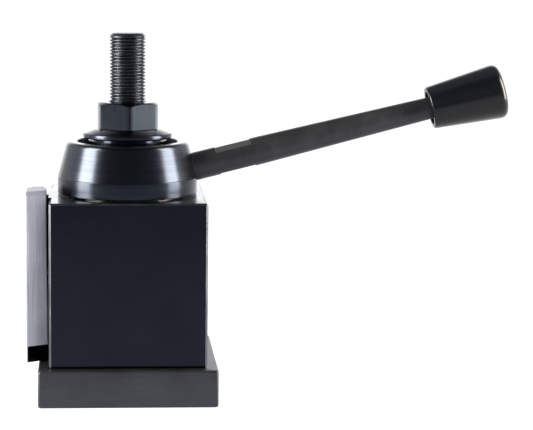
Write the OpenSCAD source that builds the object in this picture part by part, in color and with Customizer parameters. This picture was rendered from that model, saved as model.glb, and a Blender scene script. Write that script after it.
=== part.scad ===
// Quick change tool post, wedge type, with its clamping base plate.
// A square post turns on a threaded stud and carries a dovetail on each of two
// neighbouring faces. Turning the handle screws the hub up or down a fixed sleeve.
// The drum under the hub carries a collar, and the collar drives one sliding
// wedge (a gib) on each dovetail, which grips or frees a tool holder.
// Origin: centre of the base plate's underside, on the stud's axis. +Z is up,
// the left dovetail faces -X, the rear dovetail faces +Y, the handle points to +X.

/* [Base plate] */
// Side of the square base plate
plate_side = 79.4; // [72:0.1:100]
// Thickness of the base plate
plate_t = 16.6; // [12:0.1:25]
// Chamfer on every edge of the base plate
plate_edge = 0.9; // [0.2:0.1:2]
// Solid floor left under the stud's threaded hole
stud_floor = 3; // [2:0.5:6]

/* [Post body] */
// Side of the square post body
body_side = 69.8; // [64:0.1:90]
// Height of the post body
body_h = 73.35; // [65:0.05:90]
// Chamfer on the post body's edges
body_edge = 1.0; // [0.3:0.1:2]
// Diameter of the main bore that holds the drum
bore_d = 50; // [49:0.5:60]
// Thickness of the web at the bottom of the main bore
web_t = 8; // [7:0.5:12]

/* [Dovetails] */
// Width of a dovetail across its outer face
dovetail_w = 42; // [36:0.1:52]
// Distance that a dovetail stands out from its face
dovetail_proud = 9.9; // [8:0.1:13]
// Angle between a dovetail's flank and the body's face
dovetail_angle = 60; // [55:1:65]
// Chamfer on a dovetail's outer corners
dovetail_edge = 0.5; // [0.2:0.1:1]

/* [Gibs] */
// Distance that a gib stands proud of its dovetail's outer face and flank
gib_proud = 0.35; // [0.1:0.05:1]
// Height of a locked gib's top above the body's top
gib_above = 3.3; // [1:0.1:6]
// Height of a locked gib's bottom above the body's bottom
gib_below = 7.2; // [4:0.1:12]
// Width of a gib's outer face at the height of the body's top
gib_w = 16.2; // [13:0.1:20]
// Slope of the inclined way that a gib slides on
wedge_angle = 5; // [3:0.5:6]
// Space between a gib's inner side and the body's face, at the gib's bottom
gib_side_gap = 0.8; // [0.8:0.1:2]
// Slope of a gib's inner side
gib_side_angle = 0.5; // [0:0.25:2]
// Height of the chamfer along a gib's top edge
gib_top_chamfer = 1.8; // [0.5:0.1:3]
// Chamfer on a gib's outer corner
gib_edge = 0.4; // [0.2:0.1:1]
// Width of a gib's retaining tongue where it leaves the gib
tongue_w = 3.2; // [2.4:0.1:4]
// Height of a gib's retaining tongue
tongue_h = 3; // [2:0.1:4]
// Diameter of the pin that drives a gib
gib_pin_d = 5; // [4:0.1:6]
// Depth of the pin's hole in its gib
gib_pin_hold = 6; // [4:0.5:7]

/* [Stud, washer and nut] */
// Diameter of the stud over its threads
stud_d = 15.9; // [12:0.1:19]
// Length of stud that shows above the nut
stud_show = 30.6; // [5:0.1:50]
// Chamfer at the stud's ends
stud_edge = 1.2; // [0.5:0.1:2]
// Diameter of the cone washer's rim
washer_d = 39.9; // [36:0.1:43]
// Diameter of the cone washer's flat top
washer_top_d = 29; // [28:0.1:32]
// Thickness of the cone washer's rim
washer_rim_t = 2.1; // [1.5:0.1:4]
// Thickness of the cone washer at its flat top
washer_t = 4.1; // [3:0.1:8]
// Hexagonal nut's width across its flats
nut_af = 26; // [24:0.5:28]
// Height of the nut
nut_h = 12; // [8:0.5:20]
// Width of the nut's top chamfer at the middle of a flat
nut_edge = 0.6; // [0.2:0.1:1]
// Slope of the nut's top chamfer
nut_edge_angle = 30; // [15:5:40]

/* [Hub] */
// Diameter of the hub's straight band
hub_d = 62.8; // [58:0.1:68]
// Height of the hub's straight band
hub_band_h = 7.6; // [5:0.1:12]
// Full height of the hub
hub_h = 23.3; // [21:0.1:30]
// Diameter of the hub's cone where the top rounding starts
hub_top_d = 54.7; // [52:0.1:58]
// Height and width of the rounding at the hub's top
hub_round = 1.9; // [1:0.1:3]
// Diameter of the recess in the hub's top
hub_recess_d = 45.2; // [44:0.1:48]
// Depth of the recess in the hub's top
hub_recess = 5.1; // [4:0.1:6]

/* [Lift mechanism] */
// Outside diameter of the centre sleeve's threaded barrel
sleeve_d = 30; // [26:0.5:34]
// Thickness of the sleeve's flange
flange_t = 8; // [6:0.5:10]
// Wall of the sleeve's foot, which stands in the body's web
foot_wall = 7.4; // [5:0.1:8]
// Advance of the hub for one full turn
hub_lead = 13; // [8:0.5:15]
// Angle that the handle turns from locked to free
hub_swing = 110; // [60:5:120]
// Wall of the drum around the sleeve at its collar groove
drum_wall = 3.15; // [2.5:0.05:4]
// Wall of the drum's spigot inside the hub
spigot_wall = 3.95; // [3:0.05:5]
// Height of the drum's spigot inside the hub
spigot_h = 11.4; // [8:0.1:12]
// Height of the collar's middle above the body's bottom
collar_mid = 39.35; // [36:0.05:46]
// Height of the collar
collar_h = 10.9; // [9:0.1:13]
// Height of the drum's lower end above the sleeve's flange
drum_foot = 3.4; // [2:0.1:6]
// Thickness of the retaining ring on the sleeve
ring_t = 1.2; // [1:0.1:1.5]
// Depth of the retaining ring's groove
ring_groove = 0.8; // [0.5:0.1:1]
// Radial width of the retaining ring
ring_w = 3.2; // [2.5:0.1:4]
// Length of sleeve above the retaining ring
sleeve_lip = 1.13; // [1:0.01:3]
// Diameter of the drum seal's section
seal_d = 2.6; // [1.6:0.1:3]
// Depth of the drum seal's middle below the body's top
seal_depth = 5; // [4:0.5:10]

/* [Screws, dowels and drive pins] */
// Number of screws that hold the sleeve's flange
screw_count = 4; // [3:1:6]
// Diameter of a flange screw
screw_d = 4; // [3:0.5:4]
// Diameter of a flange screw's head
screw_head_d = 7; // [5.5:0.1:7]
// Height of a flange screw's head
screw_head_h = 4; // [3:0.1:4]
// Hexagon socket of a flange screw, across its flats
screw_socket = 3; // [2:0.5:3]
// Diameter of a flange dowel
dowel_d = 4; // [3:0.5:4]
// Length of a flange dowel on each side of the joint face
dowel_half = 5.5; // [4:0.5:6]
// Number of drive pins between the drum and the hub
key_count = 3; // [3:2:5]
// Diameter of a drive pin
key_d = 4; // [3:0.5:5]
// Length of a drive pin
key_l = 7; // [5:0.5:8]

/* [Handle] */
// Upward tilt of the handle
handle_tilt = 14.1; // [10:0.1:18]
// Height above the hub's underside where the rod's axis meets the hub's axis
handle_rise = 4; // [3:0.1:4.5]
// Diameter of the rod at its root
rod_d = 12.6; // [10:0.1:13]
// Diameter of the rod at the knob
rod_tip_d = 9.9; // [8.5:0.1:10.4]
// Solid hub left between the drum's spigot and the rod's root
rod_root_wall = 2.7; // [2:0.1:4]
// Distance along the rod from the hub's axis to the start of its taper
rod_taper_from = 61; // [55:1:80]
// Distance along the rod from the hub's axis to the start of the wrench flats
flat_from = 41.9; // [40:0.1:45]
// Length of the wrench flats
flat_l = 16.5; // [8:0.1:18]
// Width across the wrench flats
flat_af = 10; // [9:0.1:12]
// Turn of the wrench flats about the rod's axis
flat_turn = 12.7; // [0:0.1:90]
// Diameter of the threaded tip inside the knob
tenon_d = 8; // [6:0.5:8]
// Length of the threaded tip inside the knob
tenon_l = 16; // [10:1:18]

/* [Knob] */
// Distance along the rod from the hub's axis to the knob
knob_from = 141; // [110:1:170]
// Length of the knob
knob_l = 34; // [32:0.1:50]
// Diameter of the knob's small end
knob_small_d = 19.1; // [19:0.1:24]
// Diameter of the knob's large end
knob_large_d = 24.7; // [22:0.1:32]
// Length of the rod's seat in the knob, between the recess and the threaded tip
knob_seat = 2.5; // [1.5:0.1:3]
// Rounding at the knob's large end
knob_round = 3; // [2:0.1:5]
// Diameter of the recess around the rod
knob_recess_d = 15; // [14:0.1:16]
// Depth of the recess around the rod
knob_recess = 3.5; // [2:0.1:5]
// Outside diameter of the threaded insert in the knob
insert_d = 12; // [11:0.1:14]
// Length of the threaded insert
insert_l = 17; // [14:1:19]

/* [Clearances] */
// Radial clearance of a running or threaded fit
running = 0.05; // [0.02:0.01:0.1]
// Radial clearance on the stud
stud_clear = 0.1; // [0.03:0.01:0.1]
// Gap between faces that turn on each other
seat_gap = 0.05; // [0.02:0.01:0.1]
// Gap between a gib and its way
way_clear = 0.1; // [0.05:0.01:0.2]
// Gap between a gib's way and the body's face
way_floor = 0.5; // [0.2:0.1:0.7]
// Radial clearance of the sleeve's flange in the main bore
flange_clear = 0.6; // [0.3:0.1:1]
// Radial clearance of a flange screw in the web
screw_clear = 0.25; // [0.1:0.05:0.3]
// Radial clearance of the hub around the sleeve, above the spigot
hub_bore_clear = 0.5; // [0.3:0.1:1]
// Radial clearance of the drum in the main bore
bore_clear = 0.4; // [0.3:0.05:0.6]
// Gap between a pin and the window or notch that it moves in
pin_clear = 0.3; // [0.2:0.05:0.4]
// Gap under the hub when it is down
hub_gap = 0.6; // [0.4:0.05:1.5]
// Gap between the rod's shoulder and the threaded insert in the knob
insert_gap = 0.5; // [0.2:0.1:1]
// Gap left at the end of a stroke
stop_gap = 0.3; // [0.2:0.05:0.5]

/* [Hidden] */
$fn = 96;

// Allowance that carries a cut past the face it opens on
over = 1;
// Size of a block that stands for a half space
far = 300;

// Heights, from the plate upwards
body_z0 = plate_t + seat_gap;
body_z1 = body_z0 + body_h;
web_z1 = body_z0 + web_t;
flange_z1 = web_z1 + flange_t;
hub_z0 = body_z1 + hub_gap;
hub_z1 = hub_z0 + hub_h;
recess_z = hub_z1 - hub_recess;
hub_travel = hub_lead * hub_swing / 360;
ring_z0 = recess_z + hub_travel + stop_gap;
sleeve_z1 = ring_z0 + ring_t + sleeve_lip;
washer_z0 = sleeve_z1 + seat_gap;
nut_z0 = washer_z0 + washer_t + seat_gap;
stud_z1 = nut_z0 + nut_h + stud_show;

// Radii about the stud's axis
body_half = body_side / 2;
bore_r = bore_d / 2;
sleeve_r = sleeve_d / 2;
flange_r = bore_r - flange_clear;
drum_r = bore_r - bore_clear;
drum_bore_r = sleeve_r + running;
groove_r = drum_bore_r + drum_wall;
collar_r0 = groove_r + running;
collar_r1 = bore_r - pin_clear;
spigot_r = drum_bore_r + spigot_wall;
stud_hole_r = stud_d / 2 + stud_clear;
foot_r = stud_hole_r + foot_wall;
web_hole_r = foot_r + running;
screw_circle_r = (web_hole_r + flange_r) / 2;

// Drum, collar and seal heights
drum_z0 = flange_z1 + drum_foot;
pin_z = body_z0 + collar_mid;
collar_z0 = pin_z - collar_h / 2;
seal_z = body_z1 - seal_depth;
spigot_z1 = hub_z0 + spigot_h;

// The left dovetail and its gib, seen from above
dovetail_x = body_half + dovetail_proud;
dovetail_half = dovetail_w / 2;
flank_run = dovetail_proud / tan(dovetail_angle);
gib_x1 = dovetail_x + gib_proud;
gib_x0 = body_half + gib_side_gap;
gib_y0 = -dovetail_half - gib_proud / sin(dovetail_angle);
gib_y1 = gib_y0 + gib_w;
gib_run = (gib_x1 - gib_x0) / tan(dovetail_angle);
way_x = body_half + way_floor;
gib_z0 = body_z0 + gib_below;
gib_z1 = body_z1 + gib_above;
tongue_x = -(gib_x0 + gib_x1) / 2;
tongue_flare = 1;

// The pin that joins a gib to the collar
pin_r = gib_pin_d / 2;
way_y_at_pin = gib_y1 - (body_z1 - pin_z) * tan(wedge_angle);
flank_y_at_pin = gib_y0 + gib_run;
pin_y = (way_y_at_pin + flank_y_at_pin) / 2;
gib_shift = hub_travel * tan(wedge_angle);
pin_tip_x = -sqrt(pow(collar_r0 + pin_clear, 2) - pow(abs(pin_y) - pin_r, 2));
pin_root_x = -gib_x0 - gib_side_gap - gib_pin_hold;
side_slack = pin_clear + gib_shift / 2;

// The handle, measured along the rod from the hub's axis
rod_root = (spigot_r + rod_root_wall) / cos(handle_tilt);
tenon_from = knob_from + knob_recess + knob_seat;
insert_from = tenon_from + insert_gap;
rod_seat_r = rod_tip_d / 2 + running;

// A square with its corners cut at 45 degrees
module cut_square(side, cut) {
    h = side / 2;
    k = h - cut;
    polygon([[-h, -k], [-k, -h], [k, -h], [h, -k], [h, k], [k, h], [-k, h], [-h, k]]);
}

// A rectangle that stands on the X axis, with all its corners cut
module cut_profile(side, high, cut) {
    h = side / 2;
    k = h - cut;
    polygon([[-k, 0], [k, 0], [h, cut], [h, high - cut],
             [k, high], [-k, high], [-h, high - cut], [-h, cut]]);
}

// A square block with a chamfer on all twelve edges
module cut_block(side, high, cut) {
    intersection() {
        linear_extrude(high) cut_square(side, cut);
        rotate([90, 0, 0]) linear_extrude(side + over, center = true)
            cut_profile(side, high, cut);
        rotate([90, 0, 90]) linear_extrude(side + over, center = true)
            cut_profile(side, high, cut);
    }
}

// Turns a copy for the left dovetail into the one for the rear dovetail
module on_rear() { mirror([1, 1, 0]) children(); }

// A ring with a square section
module tube(r0, r1, high) {
    difference() {
        cylinder(r = r1, h = high);
        translate([0, 0, -over]) cylinder(r = r0, h = high + 2 * over);
    }
}

// Places children evenly on a circle about the stud's axis
module around(count, radius, start = 0) {
    for (i = [0 : count - 1])
        rotate([0, 0, start + i * 360 / count]) translate([radius, 0, 0]) children();
}

// Frame of the rod: its Z axis runs out along the rod
module handle_frame() {
    translate([0, 0, hub_z0 + handle_rise]) rotate([0, 90 - handle_tilt, 0]) children();
}

// Frame of the left gib's way: its XZ plane is the inclined face
module way_frame() {
    translate([0, gib_y1, body_z1]) rotate([-wedge_angle, 0, 0]) children();
}

// All of space behind the inclined face, moved back by the given gap
module behind_way(gap = 0) {
    way_frame() translate([-far / 2, gap, -far / 2]) cube([far, far, far]);
}

// The retaining tongue, or with a gap the groove that it slides in
module tongue(gap = 0) {
    neck = tongue_w / 2 + gap;
    head = neck + tongue_flare;
    way_frame() translate([tongue_x, 0, -far / 2]) linear_extrude(far)
        polygon([[-neck, -over], [neck, -over], [neck, gap], [head, tongue_h + gap],
                 [-head, tongue_h + gap], [-neck, gap]]);
}

// Everything between two heights
module slab(z0, z1) {
    translate([-far / 2, -far / 2, z0]) cube([far, far, z1 - z0]);
}

// The left dovetail's outline
module dovetail_outline() {
    e = dovetail_edge;
    polygon([[-body_half + over, -dovetail_half + flank_run],
             [-body_half, -dovetail_half + flank_run],
             [-dovetail_x + e, -dovetail_half + e / tan(dovetail_angle)],
             [-dovetail_x, -dovetail_half + e],
             [-dovetail_x, dovetail_half - e],
             [-dovetail_x + e, dovetail_half - e / tan(dovetail_angle)],
             [-body_half, dovetail_half - flank_run],
             [-body_half + over, dovetail_half - flank_run]]);
}

// The space that the left gib slides in, with its groove and its pin's window
module gib_way() {
    floor_z = gib_z0 - stop_gap;
    difference() {
        translate([-dovetail_x - over, -far / 2, floor_z])
            cube([dovetail_x + over - way_x, far, far / 2]);
        behind_way(way_clear);
    }
    intersection() {
        tongue(way_clear);
        slab(floor_z, floor_z + far / 2);
    }
    window_half = pin_r + side_slack;
    window_l = way_x + over;
    translate([-window_l, pin_y + gib_shift / 2 - window_half, pin_z - window_half])
        cube([window_l - sleeve_r, 2 * window_half, hub_travel + 2 * window_half]);
}

module base_plate() {
    color("#48494c") difference() {
        cut_block(plate_side, plate_t, plate_edge);
        translate([0, 0, stud_floor]) cylinder(d = stud_d, h = plate_t);
    }
}

module clamp_stud() {
    r = stud_d / 2;
    tip_r = r - stud_edge;
    color("#2b2d31") rotate_extrude()
        polygon([[0, stud_floor], [tip_r, stud_floor], [r, stud_floor + stud_edge],
                 [r, stud_z1 - stud_edge], [tip_r, stud_z1], [0, stud_z1]]);
}

module clamp_washer() {
    rim_r = washer_d / 2;
    rim_edge = 0.5;
    color("#33363b") translate([0, 0, washer_z0]) rotate_extrude()
        polygon([[stud_hole_r, 0], [rim_r - rim_edge, 0], [rim_r, rim_edge],
                 [rim_r, washer_rim_t], [washer_top_d / 2, washer_t],
                 [stud_hole_r, washer_t]]);
}

module clamp_nut() {
    corner_r = nut_af / sqrt(3);
    face_r = nut_af / 2 - nut_edge;
    cut_r = corner_r + over;
    cut_z = nut_h - (cut_r - face_r) * tan(nut_edge_angle);
    first_corner = -87;
    color("#5b5e64") translate([0, 0, nut_z0]) difference() {
        intersection() {
            rotate([0, 0, first_corner]) cylinder(r = corner_r, h = nut_h, $fn = 6);
            rotate_extrude()
                polygon([[0, 0], [cut_r, 0], [cut_r, cut_z], [face_r, nut_h], [0, nut_h]]);
        }
        translate([0, 0, -over]) cylinder(d = stud_d + 2 * running, h = nut_h + 2 * over);
    }
}

module tool_post_body() {
    color("#23252d") difference() {
        union() {
            translate([0, 0, body_z0]) cut_block(body_side, body_h, body_edge);
            translate([0, 0, body_z0]) linear_extrude(body_h) dovetail_outline();
            on_rear() translate([0, 0, body_z0]) linear_extrude(body_h) dovetail_outline();
        }
        translate([0, 0, web_z1]) cylinder(r = bore_r, h = body_h);
        translate([0, 0, body_z0 - over]) cylinder(r = web_hole_r, h = web_t + 2 * over);
        translate([0, 0, seal_z - seal_d / 2 - running])
            cylinder(r = drum_r + running + seal_d + running, h = seal_d + 2 * running);
        around(screw_count, screw_circle_r, 45) {
            translate([0, 0, body_z0 - over])
                cylinder(d = screw_d + 2 * screw_clear, h = web_t + 2 * over);
            translate([0, 0, body_z0 - over])
                cylinder(d = screw_head_d + 2 * screw_clear, h = screw_head_h + stop_gap + over);
        }
        around(2, screw_circle_r)
            translate([0, 0, web_z1 - dowel_half]) cylinder(d = dowel_d, h = dowel_half + over);
        gib_way();
        on_rear() gib_way();
    }
}

module centre_sleeve() {
    foot_z0 = body_z0 + stop_gap;
    color("#2a2d34") difference() {
        rotate_extrude()
            polygon([[stud_hole_r, foot_z0], [foot_r, foot_z0],
                     [foot_r, web_z1], [flange_r, web_z1],
                     [flange_r, flange_z1], [sleeve_r, flange_z1],
                     [sleeve_r, ring_z0], [sleeve_r - ring_groove, ring_z0],
                     [sleeve_r - ring_groove, ring_z0 + ring_t],
                     [sleeve_r, ring_z0 + ring_t], [sleeve_r, sleeve_z1],
                     [stud_hole_r, sleeve_z1]]);
        around(screw_count, screw_circle_r, 45)
            translate([0, 0, web_z1 - over]) cylinder(d = screw_d, h = flange_t + 2 * over);
        around(2, screw_circle_r)
            translate([0, 0, web_z1 - over]) cylinder(d = dowel_d, h = dowel_half + over);
    }
}

module sleeve_screws() {
    color("#3a3c40") around(screw_count, screw_circle_r, 45)
        translate([0, 0, body_z0 + stop_gap]) difference() {
            union() {
                cylinder(d = screw_head_d, h = screw_head_h);
                cylinder(d = screw_d, h = web_t + flange_t - over);
            }
            translate([0, 0, -over])
                cylinder(d = screw_socket / cos(30), h = screw_head_h / 2 + over, $fn = 6);
        }
}

module sleeve_dowels() {
    color("#8c8f94") around(2, screw_circle_r)
        translate([0, 0, web_z1 - dowel_half]) cylinder(d = dowel_d, h = 2 * dowel_half);
}

module drum_seal() {
    color("#191919") translate([0, 0, seal_z]) rotate_extrude()
        translate([drum_r + running + seal_d / 2, 0]) circle(d = seal_d);
}

module retaining_ring() {
    r0 = sleeve_r - ring_groove;
    gap_w = 5;
    color("#55585d") translate([0, 0, ring_z0]) difference() {
        tube(r0, r0 + ring_w, ring_t);
        rotate([0, 0, 135]) translate([0, -gap_w / 2, -over])
            cube([r0 + ring_w + over, gap_w, ring_t + 2 * over]);
    }
}

// Half of the collar that the left gib's pin drives
module lift_collar_half() {
    notch_y = pin_y + gib_shift / 2;
    notch_h = gib_pin_d + 2 * running;
    difference() {
        translate([0, 0, collar_z0]) tube(collar_r0, collar_r1, collar_h);
        rotate([0, 0, -45]) translate([-far / 2, 0, 0]) cube([far, far, far]);
        translate([-collar_r1 - over, notch_y - pin_r - side_slack, pin_z - notch_h / 2])
            cube([collar_r1 + over, 2 * (pin_r + side_slack), notch_h]);
    }
}

module lift_collar_left() { color("#7d7a70") lift_collar_half(); }

module lift_collar_rear() { color("#7d7a70") on_rear() lift_collar_half(); }

module lift_drum() {
    groove_z0 = collar_z0 - running;
    groove_z1 = collar_z0 + collar_h + running;
    color("#63666b") difference() {
        rotate_extrude()
            polygon([[drum_bore_r, drum_z0], [drum_r, drum_z0], [drum_r, groove_z0],
                     [groove_r, groove_z0], [groove_r, groove_z1], [drum_r, groove_z1],
                     [drum_r, hub_z0], [spigot_r, hub_z0], [spigot_r, spigot_z1],
                     [drum_bore_r, spigot_z1]]);
        drive_pins();
    }
}

// Pins on the joint line between the drum's spigot and the hub
module drive_pins() {
    around(key_count, spigot_r, 60) translate([0, 0, hub_z0]) cylinder(d = key_d, h = key_l);
}

module hub() {
    r = hub_d / 2;
    step = 0.25;
    top_r = hub_top_d / 2;
    rim_edge = 0.5;
    round_z = hub_z1 - hub_round;
    bore_above = sleeve_r + hub_bore_clear;
    corner = [for (a = [0 : 15 : 90])
        [top_r - hub_round * (1 - cos(a)), round_z + hub_round * sin(a)]];
    color("#2a2d34") difference() {
        rotate_extrude()
            polygon(concat(
                [[spigot_r, hub_z0], [r - rim_edge, hub_z0], [r, hub_z0 + rim_edge],
                 [r, hub_z0 + hub_band_h - step], [r - step, hub_z0 + hub_band_h]],
                corner,
                [[hub_recess_d / 2 + rim_edge, hub_z1], [hub_recess_d / 2, hub_z1 - rim_edge],
                 [hub_recess_d / 2, recess_z], [bore_above, recess_z],
                 [bore_above, spigot_z1], [spigot_r, spigot_z1]]));
        handle_frame() translate([0, 0, rod_root]) cylinder(d = rod_d, h = hub_d);
        drive_pins();
    }
}

module hub_drive_pins() { color("#8c8f94") drive_pins(); }

module handle_rod() {
    r = rod_d / 2;
    tip_r = rod_tip_d / 2;
    flat_h = flat_af / 2;
    color("#3a3b3e") handle_frame() difference() {
        rotate_extrude()
            polygon([[0, rod_root], [r, rod_root], [r, rod_taper_from],
                     [tip_r, knob_from], [tip_r, tenon_from],
                     [tenon_d / 2, tenon_from], [tenon_d / 2, tenon_from + tenon_l],
                     [0, tenon_from + tenon_l]]);
        rotate([0, 0, flat_turn]) for (side = [0, 180])
            rotate([0, 0, side]) translate([flat_h, -r, flat_from]) cube([r, rod_d, flat_l]);
    }
}

module knob() {
    r0 = knob_small_d / 2;
    r1 = knob_large_d / 2;
    lip = 0.6;
    end_z = knob_from + knob_l;
    corner = [for (a = [0 : 15 : 90])
        [r1 - knob_round * (1 - cos(a)), end_z - knob_round * (1 - sin(a))]];
    color("#101114") handle_frame() rotate_extrude()
        polygon(concat(
            [[knob_recess_d / 2, knob_from], [r0 - lip, knob_from], [r0, knob_from + lip]],
            corner,
            [[0, end_z], [0, insert_from + insert_l], [insert_d / 2, insert_from + insert_l],
             [insert_d / 2, insert_from], [rod_seat_r, insert_from],
             [rod_seat_r, knob_from + knob_recess],
             [knob_recess_d / 2, knob_from + knob_recess]]));
}

module knob_insert() {
    color("#b08d4a") handle_frame() translate([0, 0, insert_from])
        tube(tenon_d / 2, insert_d / 2, insert_l);
}

// The left gib: a wedge with its flank upright and its back on the inclined way
module gib() {
    e = gib_edge;
    top_slope = 30;
    difference() {
        union() {
            difference() {
                translate([0, 0, gib_z0]) linear_extrude(gib_z1 - gib_z0)
                    polygon([[-gib_x0, gib_y0 + gib_run],
                             [-gib_x1 + e, gib_y0 + e / tan(dovetail_angle)],
                             [-gib_x1, gib_y0 + e],
                             [-gib_x1, dovetail_half],
                             [-gib_x0, dovetail_half]]);
                behind_way();
            }
            intersection() {
                tongue();
                slab(gib_z0, gib_z1);
            }
        }
        translate([-gib_x0, -far / 2, gib_z0]) rotate([0, -gib_side_angle, 0])
            translate([0, 0, -over]) cube([far, far, far]);
        translate([-gib_x1, gib_y0, gib_z1 - gib_top_chamfer]) rotate([0, 0, 90 - dovetail_angle])
            rotate([-top_slope, 0, 0]) translate([-over, -far, 0]) cube([far, far, far]);
        translate([pin_root_x, pin_y, pin_z])
            rotate([0, 90, 0]) cylinder(d = gib_pin_d, h = gib_pin_hold + 2 * gib_side_gap + over);
    }
}

// The pin that the left gib is driven by
module gib_pin() {
    translate([pin_root_x, pin_y, pin_z])
        rotate([0, 90, 0]) cylinder(d = gib_pin_d, h = pin_tip_x - pin_root_x);
}

module gib_left() { color("#a9abb3") gib(); }

module gib_left_pin() { color("#5b5e64") gib_pin(); }

module gib_rear() { color("#a9abb3") on_rear() gib(); }

module gib_rear_pin() { color("#5b5e64") on_rear() gib_pin(); }

base_plate();
clamp_stud();
clamp_washer();
clamp_nut();
tool_post_body();
centre_sleeve();
sleeve_screws();
sleeve_dowels();
drum_seal();
retaining_ring();
lift_collar_left();
lift_collar_rear();
lift_drum();
hub();
hub_drive_pins();
handle_rod();
knob();
knob_insert();
gib_left();
gib_left_pin();
gib_rear();
gib_rear_pin();
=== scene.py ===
# %% [markdown]
# # A quick change tool post
# This lesson dresses a wedge-type tool post from a lathe. The shapes that carry load already exist as a
# imported CAD model, and Blender never moves them. We build finer surfaces around them, give each one the
# finish of the real metal, and set up a small studio to look at the result.
#
# We start by loading the imported model. Every CAD piece arrives in its own place, in metres, and each one
# already rides on the body that it moves with. We keep each piece's box, because the finer surfaces are
# placed from it.

# %% Load the imported frame
import math

import bmesh
import bpy
import numpy as np
from mathutils import Matrix, Vector


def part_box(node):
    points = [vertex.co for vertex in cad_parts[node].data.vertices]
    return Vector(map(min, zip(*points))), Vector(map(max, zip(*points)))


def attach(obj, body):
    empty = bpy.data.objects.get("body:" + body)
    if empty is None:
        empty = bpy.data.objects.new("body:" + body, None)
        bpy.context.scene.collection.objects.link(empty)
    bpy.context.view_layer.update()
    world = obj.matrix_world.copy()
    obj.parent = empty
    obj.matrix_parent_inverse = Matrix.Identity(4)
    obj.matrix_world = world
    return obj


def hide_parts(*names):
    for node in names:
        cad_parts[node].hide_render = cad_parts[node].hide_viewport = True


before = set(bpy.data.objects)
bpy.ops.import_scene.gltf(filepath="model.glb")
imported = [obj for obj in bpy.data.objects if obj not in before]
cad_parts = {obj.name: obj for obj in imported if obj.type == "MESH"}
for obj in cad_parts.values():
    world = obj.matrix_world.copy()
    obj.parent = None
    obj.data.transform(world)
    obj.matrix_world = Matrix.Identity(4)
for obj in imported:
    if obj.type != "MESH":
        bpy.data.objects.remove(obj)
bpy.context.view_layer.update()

scene = bpy.context.scene
print("CAD nodes:", len(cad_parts))

# %% [markdown]
# ## Working in millimetres
# Machinists think in millimetres and Blender in metres. All the shapes below are worked out in millimetres,
# and one number turns them into metres when they become a mesh. Places come from the CAD pieces' own boxes,
# so a change in the CAD model carries through to here.

# %% Millimetres, and where the CAD pieces are
MM = 0.001


def box_mm(node):
    """The lowest and the highest corner of a CAD node, in millimetres, as two arrays of three numbers."""
    lo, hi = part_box(node)
    return np.array(lo) / MM, np.array(hi) / MM


plate_hi = box_mm("base_plate")[1]
body_lo, body_hi = box_mm("tool_post_body")
hub_lo, hub_hi = box_mm("hub")
washer_lo, washer_hi = box_mm("clamp_washer")
nut_lo, nut_hi = box_mm("clamp_nut")
stud_lo, stud_hi = box_mm("clamp_stud")
gib_lo, gib_hi = box_mm("gib_left")
print("body", np.round(body_lo, 2), "to", np.round(body_hi, 2))

# %% [markdown]
# ## From rings to a surface
# Nearly every piece here can be described by rings: a row of points that goes once round, repeated at many
# heights or radii. A table of rings is a grid, and a grid becomes quads by joining each point to its
# neighbours. This is worked out for the whole grid at once with numpy, with no loop over points.

# %% Helpers: rings, skins and pieces
def ring_angles(count):
    """`count` angles spread evenly over one full turn, as radians."""
    return np.arange(count) * (2 * np.pi / count)


def skin(rings, joined=False, start_pole=False, end_pole=False):
    """Points and faces for a table of rings, an array of rows by columns by three.

    Point j of ring i joins point j + 1 and the same two points of ring i + 1, and the last column joins the
    first. With `joined` the last ring also joins the first one, which closes a tube. A pole is one point at
    the middle of an end ring, with a fan of triangles around it.
    """
    rows, cols = rings.shape[:2]
    i = np.arange(rows if joined else rows - 1)[:, None]
    j = np.arange(cols)[None, :]
    near, far = i * cols, (i + 1) % rows * cols
    right = (j + 1) % cols
    quads = np.stack([near + j, near + right, far + right, far + j], -1).reshape(-1, 4)
    points, faces = [rings.reshape(-1, 3)], quads.tolist()
    j, right = j.ravel(), right.ravel()
    total = rows * cols
    if start_pole:
        points.append(rings[0].mean(0)[None])
        faces += np.stack([np.full(cols, total), right, j], -1).tolist()
        total += 1
    if end_pole:
        last = (rows - 1) * cols
        points.append(rings[-1].mean(0)[None])
        faces += np.stack([np.full(cols, total), last + j, last + right], -1).tolist()
    return np.concatenate(points), faces


def smooth_except(mesh, sharp):
    """Shades faces smoothly into each other unless they meet at more than `sharp` degrees."""
    mesh.polygons.foreach_set("use_smooth", np.ones(len(mesh.polygons), bool))
    mesh.set_sharp_from_angle(angle=math.radians(sharp))


def add_piece(name, mesh, body, node):
    """An object for a mesh, called `name`. It rides on `body` and stands for one CAD node, which it hides."""
    obj = bpy.data.objects.new(name, mesh)
    scene.collection.objects.link(obj)
    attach(obj, body)
    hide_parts(node)
    print(f"{name}: {len(mesh.vertices)} points, {len(mesh.polygons)} faces")
    return obj


def make_object(name, points, faces, body, node, sharp=32.0):
    """A piece from points in millimetres and faces. `sharp` is the angle above which an edge stays hard."""
    mesh = bpy.data.meshes.new(name)
    mesh.from_pydata((np.asarray(points) * MM).tolist(), [], faces)
    smooth_except(mesh, sharp)
    mesh.validate()
    return add_piece(name, mesh, body, node)


def break_edges(obj, width, sharper_than):
    """Rounds every edge that bends by more than `sharper_than` degrees, over `width` millimetres."""
    edges = obj.modifiers.new("broken edges", "BEVEL")
    edges.width, edges.segments, edges.limit_method = width * MM, 2, "ANGLE"
    edges.angle_limit = math.radians(sharper_than)


# %% [markdown]
# ## Broken edges
# No machined edge is perfectly sharp: it is chamfered, or at least dragged over a file. A softened corner is
# what catches a thin line of light and makes metal look real. We replace each corner of a profile by a
# small curve. The curve is a parabola through two points set back along the edges, which at this size can't
# be told from an arc.

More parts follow.
